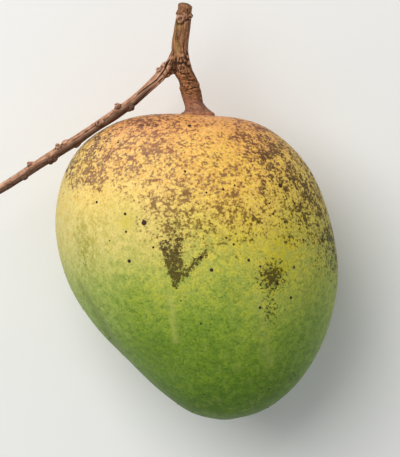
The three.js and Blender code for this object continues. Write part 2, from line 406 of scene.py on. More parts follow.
REACH = 200 * MM  # how far from the fruit's centre the ray for a scattered pore starts


def skin_below(point, direction):
    """Where a ray from outside meets the skin, and the skin's normal there."""
    place, normal, _, _ = skin_tree.ray_cast(point, direction)
    return place, normal


def add_pore(place, normal, radius):
    pore = bpy.data.objects.new("pore", dome.data.copy())
    bpy.context.scene.collection.objects.link(pore)
    stance = Matrix.LocRotScale(place, normal.to_track_quat("Z", "Y"), Vector.Fill(3, radius * MM))
    pore.data.transform(stance)
    return pore


skin_tree = BVHTree.FromObject(fruit, bpy.context.evaluated_depsgraph_get())
pores = []
for x, y, radius in PORES_BY_HAND:
    above = Vector((seat.x + x * MM, seat.y + y * MM, fruit_high.z + DROP))
    place, normal = skin_below(above, Vector((0, 0, -1)))
    if place:
        pores.append(add_pore(place, normal, radius))
by_hand = len(pores)

random = np.random.default_rng(SCATTER_SEED)
centre = (fruit_low + fruit_high) / 2
while len(pores) < by_hand + PORES_SCATTERED:
    way = Vector(random.normal(size=3)).normalized()
    radius = float(random.uniform(SMALLEST_PORE, LARGEST_PORE))
    place, normal = skin_below(centre + way * REACH, -way)
    if normal.z > FACING_CAMERA or place.z < fruit_low.z + CLEAR_OF_TABLE:
        continue
    pores.append(add_pore(place, normal, radius))

bpy.data.objects.remove(dome)
bpy.ops.object.select_all(action="DESELECT")
for pore in pores:
    pore.select_set(True)
bpy.context.view_layer.objects.active = pores[0]
bpy.ops.object.join()
pores = bpy.context.object
pores.name = "skin_pores"
bpy.ops.object.shade_smooth()
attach(pores, "root")
print("pores", by_hand, "by hand and", PORES_SCATTERED, "scattered")

# %% [markdown]
# ## The stalk
# The collar, the neck, the cut stub and the side twig grew as one piece of wood. A copy of
# the solid keeps them exactly where they belong. Its loose triangles are merged, the
# collar's foot is drawn down until it sinks into the skin. Balls, sunk into the wood, swell
# the knots, fill the crotch of the fork and make its lumps. Small rings with pits are set
# on the knots, where flower stalks and leaves broke off. A fine voxel remesh then fuses
# all of it into one even skin, which is dense enough to carry the bark.

# %% Stalk: a merged copy, with the collar drawn down into its seat
FOOT_REACH = 1.6 * MM
FOOT_RADIUS = 8 * MM
FOOT_BAND = 2 * MM  # the collar's foot lies no further than this from the seat's level
FACING_FRUIT = -0.7
MERGE_DISTANCE = 0.001 * MM

stalk = bpy.data.objects.new("woody_stem", stalk_solid.data.copy())
bpy.context.scene.collection.objects.link(stalk)
stalk.data.materials.clear()
only(stalk)
bpy.ops.object.mode_set(mode="EDIT")
bpy.ops.mesh.select_all(action="SELECT")
bpy.ops.mesh.remove_doubles(threshold=MERGE_DISTANCE)
bpy.ops.mesh.select_all(action="DESELECT")
bpy.ops.object.mode_set(mode="OBJECT")
for face in stalk.data.polygons:
    out = face.center - seat
    near = math.hypot(out.x, out.z) < FOOT_RADIUS and abs(out.y) < FOOT_BAND
    face.select = near and face.normal.y < FACING_FRUIT
feet = sum(face.select for face in stalk.data.polygons)
bpy.ops.object.mode_set(mode="EDIT")
bpy.ops.mesh.select_mode(type="FACE")
bpy.ops.mesh.extrude_region_move(TRANSFORM_OT_translate={"value": (0, -FOOT_REACH, 0)})
bpy.ops.object.mode_set(mode="OBJECT")
print("collar faces drawn down", feet)

# %% Stalk: scars on the knots
# Across and along from the seat, the way it faces, ring radius, and ring thickness.
SCARS = [
    (-6.3, 33.9, (-0.1, -0.3, 1), 1.15, 0.36),
    (-3.9, 34.2, (0.6, -0.1, 0.8), 0.7, 0.28),
    (-13.6, 15.2, (-0.6, 0.6, 0.6), 0.85, 0.34),
    (-27.9, 1.9, (-0.4, 0.7, 0.6), 0.75, 0.3),
    (-24.4, 3.6, (0.5, -0.7, 0.5), 0.6, 0.28),
    (-34.9, -3.3, (0, 0, 1), 0.7, 0.3),
    (-48.8, -11.6, (-0.3, 0.5, 0.8), 0.8, 0.32),
    (-52.2, -15.2, (0.4, -0.7, 0.5), 0.75, 0.3),
    (-58.6, -18.2, (-0.4, 0.7, 0.6), 0.7, 0.3),
    (-66, -23.3, (0.3, -0.6, 0.7), 0.6, 0.28),
]
SCAR_SHAPE = (0.85, 1.15, 1)  # a scar is wider across the limb than along it
SCAR_LIFT = 0.38  # share of its radius that a ring stands off the wood
LIMB_REACH = 3 * MM  # wood this near to a place is averaged to find the limb's core
RAY_LENGTH = 15 * MM


def wood_surface(x, y, facing):
    """Where a ray that comes in against that facing meets the wood, aimed at its core."""
    facing = Vector(facing).normalized()
    near = np.hypot(wood[:, 0] - seat.x - x * MM, wood[:, 1] - seat.y - y * MM) < LIMB_REACH
    core = Vector((seat.x + x * MM, seat.y + y * MM, float(wood[near, 2].mean())))
    place, _, _, _ = wood_tree.ray_cast(core + facing * RAY_LENGTH, -facing)
    return place, facing


def add_scar(x, y, facing, radius, thickness):
    """A ring round a pit, lying on the wood at that place."""
    place, facing = wood_surface(x, y, facing)
    if not place:
        return None
    scar_places.append((np.array(place), radius))
    bpy.ops.mesh.primitive_torus_add(
        location=place + facing * SCAR_LIFT * radius * MM,
        rotation=facing.to_track_quat("Z", "Y").to_euler(),
        major_radius=radius * MM,
        minor_radius=thickness * MM,
        major_segments=28,
        minor_segments=12,
    )
    bpy.context.object.scale = SCAR_SHAPE
    return bpy.context.object


# %% Stalk: lumps and knots
# Across and along from the seat, the way it faces, and radius.
LUMPS = [
    (-5.9, 20.4, (0, 0, 1), 1.4), (-4.6, 20, (0.2, 0, 1), 1.2), (-4.3, 17.9, (0.2, 0, 1), 1.3),
    (-5.5, 17.2, (0, 0, 1), 1.0), (-6.9, 17, (0, 0, 1), 1.2), (-8.5, 16.6, (-0.1, -0.2, 1), 1.1),
    (-5.1, 18.8, (0.1, 0, 1), 0.9), (-7.2, 18.5, (0, 0, 1), 0.9), (-5, 18.4, (0.1, 0, -1), 1.6),
    (-7, 17.4, (0, 0, -1), 1.4), (-2.9, 10.4, (0.1, 0, 1), 0.75), (-1.6, 10.7, (0.5, 0, 0.8), 0.6),
    (-4.6, 9.6, (-0.2, 0, 1), 0.5), (-9.5, 15.3, (-0.2, -1, 0.2), 1.5),
    (-9.7, 15.3, (-0.2, -1, -0.3), 1.5), (-10.8, 14.8, (-0.1, -1, 0), 1.4),
]
KNOT_SPREAD = 1.6  # radius of the ball under a scar, against the scar's ring
BALL_SINK = 0.6  # share of its radius that a ball's centre lies below the wood


def add_lump(x, y, facing, radius):
    """A small ball, sunk by more than half into the wood at that place."""
    place, facing = wood_surface(x, y, facing)
    if not place:
        return None
    bpy.ops.mesh.primitive_ico_sphere_add(
        subdivisions=3,
        location=place - facing * BALL_SINK * radius * MM,
        radius=radius * MM,
    )
    return bpy.context.object


wood = points_of(stalk)
wood_tree = BVHTree.FromObject(stalk, bpy.context.evaluated_depsgraph_get())
scar_places = []
knots = [(x, y, facing, KNOT_SPREAD * radius) for x, y, facing, radius, _ in SCARS]
added = [add_scar(*scar) for scar in SCARS] + [add_lump(*lump) for lump in LUMPS + knots]
added = [piece for piece in added if piece]
only(stalk)
for piece in added:
    piece.select_set(True)
bpy.ops.object.join()
print("scars and lumps set on the wood", len(added))

# %% Stalk: fused into one fine skin
VOXEL = 0.18 * MM

stalk.data.remesh_voxel_size = VOXEL
stalk.data.remesh_voxel_adaptivity = 0
bpy.ops.object.voxel_remesh()
apply_modifier(stalk, "SMOOTH", factor=0.5, iterations=5)
bpy.ops.object.shade_smooth()
print("faces in the stalk", len(stalk.data.polygons))

# %% [markdown]
# Bark runs along its limb. To draw it that way, each point of the wood gets a place in the
# grain: how far it stands off the limb's middle line, two ways, and how far along the limb
# it is. The middle lines are measured from the wood itself, as the middles of thin
# slices: across Y for the stub and neck, across X for the side twig. Noise that is read
# at those places, with the length squeezed, becomes long ridges with no seam.

# %% Stalk: places in the grain
GRAIN_STRETCH = 14  # how many times longer than wide the ridges are
FORK_SIDE = (-9.3, -12.5)  # across from the seat: here the stub's grain turns into the twig's
TWIG_START = 18  # the twig's length is counted on from the stub's at the fork
FEWEST_POINTS = 12  # a slice with fewer points is left out


def slice_middles(values, others, low, high, step):
    """Middles of thin slices of a limb, as a table of places and two middles."""
    rows = []
    for place in np.arange(low, high, step):
        inside = np.abs(values - place) < step
        if inside.sum() > FEWEST_POINTS:
            rows.append((place, *others[inside].mean(axis=0)))
    return np.array(rows)


across, along, height = from_seat(stalk)
twig = soft(-across, -FORK_SIDE[0], -FORK_SIDE[1])
on_main = twig < 0.02
main_line = slice_middles(along[on_main], np.c_[across, height][on_main], -1, 39, 0.7)
twig_line = slice_middles(across[~on_main], np.c_[along, height][~on_main], -78, -12, 0.9)

main_across = across - np.interp(along, main_line[:, 0], main_line[:, 1])
main_height = height - np.interp(along, main_line[:, 0], main_line[:, 2])
twig_along = along - np.interp(across, twig_line[:, 0], twig_line[:, 1])
twig_height = height - np.interp(across, twig_line[:, 0], twig_line[:, 2])
twig_slope = np.gradient(twig_line[:, 1], twig_line[:, 0])
twig_cosine = 1 / np.sqrt(1 + np.interp(across, twig_line[:, 0], twig_slope) ** 2)
twig_length = TWIG_START + across / twig_cosine

grain = np.c_[
    main_across * (1 - twig) - twig_along * twig_cosine * twig,
    main_height * (1 - twig) + twig_height * twig,
    (along * (1 - twig) + twig_length * twig) / GRAIN_STRETCH,
]
layer = stalk.data.attributes.new("grain", "FLOAT_VECTOR", "POINT")
layer.data.foreach_set("vector", grain.astype(np.float32).ravel())
print("middle lines of", len(main_line), "and", len(twig_line), "slices")

# %% [markdown]
# The bark is then pressed in: ridges along the grain, lumps where the fork healed, the
# raised ring scar on the neck, fine cracks round the neck below it, and a groove down the
# top of the twig's root. Under the twig the bark swells instead, where the fruit leaves
# room for it. Where the stub was cut, the wood is left flat, with a rim of bark round it.
# No operator follows the grain, so all of this is done by moving points.

# %% Stalk: ridges and fissures along the grain
RIDGE_WIDTH = 1.15
RIDGE_DEPTH = 0.2
FISSURE_DEPTH = 0.22

wood = from_seat(stalk).T
cut_face = soft(normals_of(stalk)[:, 1], 0.75, 0.9) * soft(along, 37.6, 38.4)
main = 1 - twig  # 1 on the collar, neck and stub
neck = main * soft(-along, -16.5, -13.5)
ridges = waves(grain, RIDGE_WIDTH, 6) + 0.5 * waves(grain, RIDGE_WIDTH / 2.1, 7)
ridges *= 1 - 0.75 * neck
fissures = soft(0.13 - np.abs(waves(grain, 1.2, 14)), 0, 0.12)
fissures *= soft(waves(grain, 2.2, 15), -0.35, 0.1) * (1 - 0.9 * neck)
depth = RIDGE_DEPTH * 0.5 * (1 + ridges) + FISSURE_DEPTH * fissures
print("ridges", [round(float(v), 2) for v in (ridges.min(), ridges.max())])

# %% Stalk: the healed fork
FORK_DEPTH = 0.34
CREVICE_DEPTH = 0.3
GROOVE_DEPTH = 0.5
GROOVE_WIDTH = 0.24
GROOVE_ROUTE = [(-10.6, 19.1), (-11.9, 15.7), (-14.9, 11.7), (-21.2, 7.1)]

fork = hump(across, -6, 5.5) * hump(along, 17.6, 4.2)
lumps = waves(wood, 2.2, 8) + 0.6 * waves(wood, 1.1, 9)
crevices = soft(0.1 - np.abs(waves(wood, 2.6, 18)), 0, 0.1) * np.clip(1.3 * fork, 0, 1)
crevices *= soft(waves(wood, 1.4, 20), -0.1, 0.3)
groove = np.zeros(len(along))
for start, end in zip(GROOVE_ROUTE, GROOVE_ROUTE[1:]):
    groove = np.maximum(groove, near_line(across, along, start, end, GROOVE_WIDTH))
groove *= soft(height, 0.5, 1.5) * soft(across, -24, -15)
depth += FORK_DEPTH * fork * (0.6 - lumps) + CREVICE_DEPTH * crevices + GROOVE_DEPTH * groove
print("points at the fork", int((fork > 0.5).sum()))

# %% Stalk: ring scar and cracks on the neck
RING_HEIGHT = 0.3
RING_CRACK_DEPTH = 0.25
CRACK_DEPTH = 0.18

ring_line = 9.9 + 0.24 * (across + 3.4) + 0.3 * waves(wood, 2, 10)
ring_scar = hump(along, ring_line, 0.6) * main
ring_crack = hump(along, ring_line - 1.1, 0.3) * neck * soft(waves(wood, 1.5, 21), -0.3, 0.3)
cracks = soft(0.2 - np.abs(waves(wood * (0.3, 1, 0.3), 0.9, 11)), 0, 0.18) * neck
cracks *= soft(waves(wood, 1.8, 17), -0.2, 0.2)
depth -= RING_HEIGHT * ring_scar * (0.4 + 0.9 * waves(wood, 1.1, 12))
depth += CRACK_DEPTH * cracks + RING_CRACK_DEPTH * ring_crack
print("points on the ring scar", int((ring_scar > 0.5).sum()))

# %% Stalk: the outline of collar, neck and stub
FLARE = 0.7
WAIST = 0.7
HIP = 0.75
BEAK_SIDE_FOOT = 1.0
DRAWN_IN_BACK = 0.2  # how far the stub draws in just below its cut, on each side
DRAWN_IN_BEAK_SIDE = 0.35

flare = hump(np.maximum(along, 0), 0, 1.1) * main
waist = hump(along, 3, 1.4) * soft(main_across, 0, 3)
hip = hump(along, 11.2, 2.3) * soft(-main_across, 1.6, 3.4) * main
beak_side_foot = hump(np.maximum(along + 0.2, 0), 0, 0.7) * soft(-main_across, 1.4, 3.2) * main
below_cut = hump(along, 35.4, 2.4) * main
depth += WAIST * waist + HIP * hip - FLARE * flare - BEAK_SIDE_FOOT * beak_side_foot
depth += DRAWN_IN_BACK * below_cut * soft(main_across, 2.3, 3.1)
depth += DRAWN_IN_BEAK_SIDE * below_cut * soft(-main_across, 2.5, 3.3)
print("points drawn in below the cut", int((below_cut > 0.5).sum()))

# %% Stalk: rough scars, and the swell under the twig
SCAR_ROUGHNESS = 0.3
TWIG_SWELL = 0.45  # bark that stands proud under the twig, where the fruit leaves room

places = points_of(stalk)
near_scar = np.zeros(len(along))
for place, radius in scar_places:
    gap = np.linalg.norm(places - place, axis=1) / MM
    near_scar = np.maximum(near_scar, soft(-gap / radius, -2.4, -1.4))
depth += SCAR_ROUGHNESS * near_scar * waves(wood, 0.9, 19)

room = np.array([skin_tree.find_nearest(Vector(point))[3] for point in places]) / MM
under_twig = soft(-across, 14, 24) * soft(across, -77, -70) * soft(-twig_along, -0.6, 1.2)
depth -= TWIG_SWELL * under_twig * soft(room, 0.35, 1.3)
depth *= 1 - cut_face
press(stalk, depth * MM)
apply_modifier(stalk, "SMOOTH", factor=0.3, iterations=1)
print("bark pressed in by", [round(float(v), 2) for v in (depth.min(), depth.max())], "mm")

# %% Stalk: the rim round the cut
STUB_RADIUS = 2.9
RIM_DROP = 1.1 * MM
STUB_TAPER = 0.08

rim = soft(along, 33.5, 39.4) * (np.hypot(main_across, main_height) / STUB_RADIUS) ** 3
taper = STUB_TAPER * soft(along, 34.5, 38.6)
moved = points_of(stalk)
moved[:, 0] -= main_across * taper * MM
moved[:, 1] -= RIM_DROP * np.clip(rim, 0, 1.2)
moved[:, 2] -= main_height * taper * MM
stalk.data.vertices.foreach_set("co", moved.ravel())
bpy.ops.object.shade_smooth()
print("points in the rim and the cut", int((rim > 0.5).sum()))

# %% [markdown]
# The bark is dark where it lies deep: partly its own darker fissures, partly painted shade
# in its hollows. How deep is measured, as the gap to a smoothed copy of the same piece, so
# the colour follows the relief whatever made it. The scars get pale rings and dark inner
# outlines, stronger on the side away from the fruit, which faces the light, so the pale
# there is partly a painted highlight. Dark lines in the cracks, the groove and the fork's
# crevices, and an outer outline on the side toward the fruit, are painted shade.

# %% Stalk: fields for the bark's colours
def hollows(piece, rounds):
    """How far each point lies below a smoothed copy of its piece, in millimetres."""
    smooth_copy = piece.copy()
    smooth_copy.data = piece.data.copy()
    bpy.context.scene.collection.objects.link(smooth_copy)
    apply_modifier(smooth_copy, "SMOOTH", factor=0.5, iterations=rounds)
    gap = ((points_of(smooth_copy) - points_of(piece)) * normals_of(piece)).sum(axis=1) / MM
    smooth_mesh = smooth_copy.data
    bpy.data.objects.remove(smooth_copy)
    bpy.data.meshes.remove(smooth_mesh)
    return gap


SMOOTHING_ROUNDS = 40

sunk = hollows(stalk, SMOOTHING_ROUNDS)
# painted shade: dark where the bark lies deep, together with the bark's own darker fissures
hollow_tone_and_shade = 0.42 + 5 * sunk + 0.12 * ridges + 0.5 * fissures + 0.7 * groove + 0.4 * cracks
paint(stalk, "hollow_tone_and_shade", np.clip(hollow_tone_and_shade, 0, 1))
print("hollows", [round(float(v), 3) for v in np.percentile(sunk, [2, 10, 50, 90, 98])], "mm")

film = hump(main_across, -1.4, 0.9) * soft(main_height, -1, 1)
paint(stalk, "neck", neck)
paint(stalk, "ring", np.clip(ring_scar, 0, 1))
paint(stalk, "twig", twig)
paint(stalk, "fork", np.clip(fork, 0, 1))
paint(stalk, "collar", soft(-along, -8.5, -2.5) * main)
paint(stalk, "moss", film * soft(along, 19, 24) * soft(-along, -36, -31) * main)
paint(stalk, "cut", cut_face)
# painted shade: the underside of the twig is darkened
paint(stalk, "twig_underside_shade", soft(-twig_along, -0.6, 0.7) * soft(-across, 13, 20))

# %% Stalk: scar rings with painted highlight, and outlines with painted shade
pale_scars_and_highlights = np.zeros(len(along))
dark_outlines_and_shade = np.zeros(len(along))
places = points_of(stalk)
wobble = 1 + 0.22 * waves(wood, 0.8, 22)
for place, radius in scar_places:
    gap = np.linalg.norm(places - place, axis=1) / MM * wobble / radius
    # the side away from the fruit faces the light
    brow_toward_light = soft((places[:, 1] - place[1]) / MM / radius, -0.6, 0.7)  # the side away from the fruit
    # painted highlight: the ring is paler on the side that faces the light
    pale_scars_and_highlights = np.maximum(pale_scars_and_highlights, hump(gap, 1.05, 0.3) * (0.45 + 0.55 * brow_toward_light))
    pale_scars_and_highlights = np.maximum(pale_scars_and_highlights, hump(gap, 0, 0.36))
    dark_outlines_and_shade = np.maximum(dark_outlines_and_shade, hump(gap, 0.6, 0.15) * (0.35 + 0.65 * brow_toward_light))
    # painted shade: an outer dark outline below the raised ring, on the side toward the fruit
    dark_outlines_and_shade = np.maximum(dark_outlines_and_shade, 0.7 * hump(gap, 1.65, 0.22) * (1 - 0.7 * brow_toward_light))
# painted shade: dark lines laid in the ring crack, the groove and the fork's crevices
dark_outlines_and_shade += 0.7 * ring_crack + 0.6 * groove + 0.8 * crevices
paint(stalk, "scar", pale_scars_and_highlights)
paint(stalk, "outline", np.clip(dark_outlines_and_shade, 0, 1))
print("scars painted", len(scar_places))

# %% Stalk: it rides on the only body and stands for its solid
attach(stalk, "root")
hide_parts("woody_stalk")

# %% [markdown]
# ## Finishes
# The finishes are built from nodes. Colours are written as they would be read off a
# printed colour card, from 0 to 255, and turned into the linear values that the shader
# works with. A small class keeps the wiring short: each call adds the nodes it needs and
# returns their output, and lay() puts the next colour over what is there, as a painter
# lays a glaze. So a finish reads from top to bottom like a recipe.

# %% Helpers for finishes
def card(red, green, blue):
    """A colour-card colour as linear red, green, blue and full alpha."""
    shares = [value / 255 for value in (red, green, blue)]
    linear = [s / 12.92 if s <= 0.04045 else ((s + 0.055) / 1.055) ** 2.4 for s in shares]
    return (*linear, 1)


class Finish:
    def __init__(self, name, roughness, specular):
        self.material = bpy.data.materials.new(name)
        self.material.use_nodes = True
        self.tree = self.material.node_tree
        self.shader = self.tree.nodes["Principled BSDF"]
        self.shader.inputs["Roughness"].default_value = roughness
        self.shader.inputs["Specular IOR Level"].default_value = specular
        self.object_place = self.tree.nodes.new("ShaderNodeTexCoord").outputs["Object"]
        self.colour = None

    def feed(self, socket, value):
        if isinstance(value, bpy.types.NodeSocket):
            self.tree.links.new(value, socket)
        else:
            socket.default_value = value

    def painted(self, name, output="Fac"):
        node = self.tree.nodes.new("ShaderNodeAttribute")
        node.attribute_name = name
        return node.outputs[output]

    def noise(self, size, detail=2, roughness=0.5, place=None, distortion=0):
        """Noise whose spots are about that many metres, or grain units, across."""
        node = self.tree.nodes.new("ShaderNodeTexNoise")
        self.feed(node.inputs["Vector"], place or self.object_place)
        node.inputs["Scale"].default_value = 1 / size
        node.inputs["Detail"].default_value = detail
        node.inputs["Roughness"].default_value = roughness
        node.inputs["Distortion"].default_value = distortion
        return node.outputs["Fac"]

    def stretched(self, shares):
        """The object's own places with each axis scaled, so that noise there is streaky."""
        node = self.tree.nodes.new("ShaderNodeVectorMath")
        node.operation = "MULTIPLY"
        self.feed(node.inputs[0], self.object_place)
        node.inputs[1].default_value = shares
        return node.outputs["Vector"]

    def cell_dots(self, size, inner, outer):
        """Small round dots, one in each cell of that size, with radii as shares of it."""
        node = self.tree.nodes.new("ShaderNodeTexVoronoi")
        self.feed(node.inputs["Vector"], self.object_place)
        node.inputs["Scale"].default_value = 1 / size
        return self.step(node.outputs["Distance"], outer, inner)

    def math(self, operation, first, second=0.0, third=0.0):
        node = self.tree.nodes.new("ShaderNodeMath")
        node.operation = operation
        for socket, value in zip(node.inputs, (first, second, third)):
            self.feed(socket, value)
        return node.outputs[0]

    def add(self, *values):
        total = values[0]
        for value in values[1:]:
            total = self.math("ADD", total, value)
        return total

    def times(self, *values):
        product = values[0]
        for value in values[1:]:
            product = self.math("MULTIPLY", product, value)
        return product

    def step(self, value, low, high):
        """0 below low, 1 above high, smooth between."""
        node = self.tree.nodes.new("ShaderNodeMapRange")
        node.interpolation_type = "SMOOTHSTEP"
        self.feed(node.inputs["Value"], value)
        node.inputs["From Min"].default_value = low
        node.inputs["From Max"].default_value = high
        return node.outputs["Result"]

    def blend(self, share, first, second):
        """One number that passes from the first to the second as the share grows."""
        node = self.tree.nodes.new("ShaderNodeMix")
        self.feed(node.inputs[0], share)
        self.feed(node.inputs[2], first)
        self.feed(node.inputs[3], second)
        return node.outputs[0]

    def mix(self, factor, first, second, blend="MIX"):
        node = self.tree.nodes.new("ShaderNodeMix")
        node.data_type = "RGBA"
        node.blend_type = blend
        self.feed(node.inputs["Factor"], factor)
        self.feed(node.inputs[6], first)
        self.feed(node.inputs[7], second)
        return node.outputs[2]

    def ramp(self, value, stops):
        """Colours along a value; stops is a list of (place, colour)."""
        node = self.tree.nodes.new("ShaderNodeValToRGB")
        node.color_ramp.interpolation = "B_SPLINE"
        while len(node.color_ramp.elements) < len(stops):
            node.color_ramp.elements.new(1)
        for element, (place, colour) in zip(node.color_ramp.elements, stops):
            element.position = place
            element.color = colour
        self.feed(node.inputs["Fac"], value)
        return node.outputs["Color"]

    def lay(self, colour, *amounts, blend="MIX"):
        """Puts a colour over the finish's own, as much as the product of the amounts says."""
        self.colour = self.mix(self.times(*amounts), self.colour, colour, blend)

    def bump(self, height, strength, distance):
        node = self.tree.nodes.new("ShaderNodeBump")
        node.inputs["Strength"].default_value = strength
        node.inputs["Distance"].default_value = distance
        self.feed(node.inputs["Height"], height)
        self.feed(self.shader.inputs["Normal"], node.outputs["Normal"])

    def put_on(self, piece):
        self.feed(self.shader.inputs["Base Color"], self.colour)
        piece.data.materials.clear()
        piece.data.materials.append(self.material)
        print(self.material.name, "on", piece.name, "with", len(self.tree.nodes), "nodes")


# %% [markdown]
# ### Mango skin
# The ground colour follows the painted ripeness, with broad and fine noise added, so the
# orange melts into yellow and green unevenly. The blotches are noise of one to three
# millimetres, gathered into larger clusters, that shows only where the painted field lets
# it through. They darken what is under them instead of covering it, as scuffed wax does,
# and at the beak edge they are darkened further as painted shade. A cream painted sheen
# lies on the upper beak side, and the crease is darkened as painted shade. The stains and
# the olive speckle use finer noise. The skin is half glossy, and duller where the blotches
# and the bloom lie.

# %% Skin: ground colour
rind = Finish("mango skin", roughness=0.46, specular=0.1)
broad = rind.noise(17 * MM, 2)
fine = rind.noise(2.4 * MM, 4, 0.6)
tiny = rind.noise(0.8 * MM, 3, 0.6)
ripe = rind.add(
    rind.painted("ripeness"),
    rind.times(rind.add(broad, -0.5), 0.16),
    rind.times(rind.add(fine, -0.5), 0.13),
)
GROUND = [
    (0.0, card(70, 102, 14)),
    (0.12, card(92, 128, 32)),
    (0.27, card(128, 154, 60)),
    (0.4, card(164, 174, 80)),
    (0.54, card(202, 186, 84)),
    (0.66, card(232, 200, 100)),
    (0.8, card(247, 194, 102)),
    (0.92, card(249, 178, 104)),
    (1.0, card(230, 154, 98)),
]
rind.colour = rind.ramp(ripe, GROUND)

# %% Skin: mottling and fine dots
greenness = rind.step(ripe, 0.62, 0.25)
mottle = rind.step(rind.add(fine, rind.times(tiny, 0.7)), 0.7, 1.05)
freckles = rind.step(rind.noise(0.75 * MM, 4, 0.65), 0.47, 0.62)
freckle_tint = rind.mix(greenness, card(206, 186, 150), card(196, 214, 150))
dark_flecks = rind.step(rind.noise(1.5 * MM, 3, 0.6, distortion=0.4), 0.53, 0.68)
streaky = rind.noise(3.2 * MM, 3, 0.6, rind.stretched((1, 0.22, 1)))
dots = rind.cell_dots(1.2 * MM, 0.12, 0.3)
cream_dots = rind.cell_dots(1.9 * MM, 0.1, 0.34)

rind.lay(card(240, 226, 160), mottle, 0.5, blend="OVERLAY")
rind.lay(freckle_tint, freckles, 0.62, blend="MULTIPLY")
rind.lay(card(66, 98, 22), dark_flecks, greenness, 0.42)
rind.lay(card(176, 186, 96), rind.step(streaky, 0.5, 0.72), greenness, 0.2)
rind.lay(card(224, 220, 150), dots, 0.1)
rind.lay(card(252, 226, 150), cream_dots, rind.step(ripe, 0.55, 0.75), 0.3)

# %% Skin: bloom, painted sheen and halo
bloom = rind.painted("bloom")
ragged_halo = rind.add(
    rind.times(fine, 0.6),
    rind.times(streaky, 0.2),
    rind.times(tiny, 0.2),
)
rind.lay(card(168, 188, 128), bloom, rind.step(fine, 0.2, 0.8), 0.75)
# painted sheen: cream laid where the light falls brightest
rind.lay(card(238, 212, 158), rind.painted("painted_sheen"), rind.step(fine, 0.15, 0.7), 0.42)
ragged_halo = rind.step(ragged_halo, 0.38, 0.6)
rind.lay(card(192, 178, 26), rind.painted("halo"), ragged_halo, 0.8)

# %% Skin: blotches
blotch_field = rind.painted("blotches")
blotch_noise = rind.add(
    rind.times(rind.noise(1.0 * MM, 3, 0.6), 0.48),
    rind.times(rind.noise(2.9 * MM, 3, 0.6, distortion=0.3), 0.36),
    rind.times(rind.noise(8 * MM, 2, 0.5), 0.16),
    rind.times(rind.add(blotch_field, -1), 0.15),
)
faint = rind.step(blotch_noise, 0.4, 0.5)
rind.lay(card(196, 166, 160), faint, rind.step(blotch_field, 0.0, 0.4), 0.34, blend="MULTIPLY")

# the blotches' tint darkens with this field: darker blotches on the back, and painted shade at the
# beak edge
blotch_darkness_and_shade = rind.add(
    rind.painted("blotch_darkness_and_shade"),
    rind.times(rind.add(rind.noise(3.4 * MM, 3, 0.6), -0.5), 2.2),
)
blotch_tint = rind.mix(rind.step(blotch_darkness_and_shade, -0.1, 1.1), card(172, 156, 212), card(84, 74, 132))
less_ripe = rind.step(ripe, 0.85, 0.55)
blotch_tint = rind.mix(less_ripe, blotch_tint, card(222, 216, 150), "MULTIPLY")
blotch_amount = rind.times(
    rind.step(blotch_noise, 0.455, 0.535),
    rind.step(blotch_field, 0.0, 0.25),
    0.88,
)
specks = rind.times(
    rind.cell_dots(1.9 * MM, 0.14, 0.3),
    rind.step(rind.noise(3.6 * MM, 2), 0.46, 0.56),
    rind.step(blotch_field, 0.0, 0.5),
    0.8,
)
blotch_amount = rind.math("MAXIMUM", blotch_amount, specks)
rind.lay(blotch_tint, blotch_amount, blend="MULTIPLY")

# %% Skin: stains, olive speckle, painted shade in the crease, and streaks
speckle = rind.noise(1.05 * MM, 3, 0.65)
stain_field = rind.painted("stains")
stain = rind.add(speckle, rind.times(rind.add(stain_field, -1), 0.26))
stain = rind.step(stain, 0.362, 0.452)
olive = rind.add(rind.times(speckle, 0.5), rind.times(streaky, 0.5))
olive = rind.step(olive, 0.47, 0.58)

rind.lay(card(46, 32, 10), stain, rind.step(stain_field, 0.02, 0.25), 0.86)
rind.lay(card(96, 80, 30), rind.step(stain_field, 0.3, 1), 0.35)
rind.lay(card(136, 134, 30), rind.painted("olive"), olive, 0.9)
# painted shade: the crease is darkened green
rind.lay(card(70, 98, 36), rind.painted("crease"), 0.45)
rind.lay(card(186, 190, 100), rind.painted("streak"), 0.42)

# %% Skin: gloss and relief
roughness = rind.add(
    0.4,
    rind.times(fine, 0.1),
    rind.times(blotch_amount, 0.12),
    rind.times(bloom, 0.12),
)
rind.feed(rind.shader.inputs["Roughness"], roughness)
peel = rind.add(rind.noise(0.6 * MM, 2), rind.times(blotch_amount, 0.35))
rind.bump(peel, 0.25, 0.06 * MM)
rind.put_on(fruit)

# %% [markdown]
# ### Pore cork
# An old pore is filled with cork, which dries brown-black and duller than the skin. The
# domes are too small for a pattern to be seen, so noise between a dark and a slightly
# paler brown is enough to keep them from looking like printed dots.

# %% Pores: brown-black cork, paler here and there
cork = Finish("pore cork", roughness=0.7, specular=0.25)
cork_noise = cork.noise(0.5 * MM, 2)
paler = cork.step(cork_noise, 0.45, 0.7)
cork.colour = cork.mix(paler, card(44, 26, 24), card(82, 56, 40))
cork.bump(cork_noise, 0.4, 0.05 * MM)
cork.put_on(pores)

# %% [markdown]
# ### Bark
# Dry mango wood is pinkish brown on its ridges and dark brown in its hollows, and the dark
# there is partly painted shade. The measured hollows set the colour, so colour and relief
# agree, and the twig is paler than the rest. Finer noise adds fibres, which run along the
# grain but round the neck. The stub has an olive film on one side, the fork's hollows are
# darkened further, partly as painted shade, the collar is pink, the twig's underside is
# darkened as painted shade, and the cut face is brown end grain.

# %% Bark: colours along the grain
bark = Finish("dry bark", roughness=0.85, specular=0.25)
grain_place = bark.painted("grain", "Vector")
on_neck = bark.painted("neck")
long_fibres = bark.noise(0.42, 4, 0.6, grain_place)
cross_fibres = bark.noise(0.8 * MM, 4, 0.65, bark.stretched((0.5, 1.3, 0.5)))
fibres = bark.blend(on_neck, long_fibres, cross_fibres)
patches = bark.noise(2.2 * MM, 3, 0.55)
grit = bark.noise(0.45 * MM, 3, 0.6)
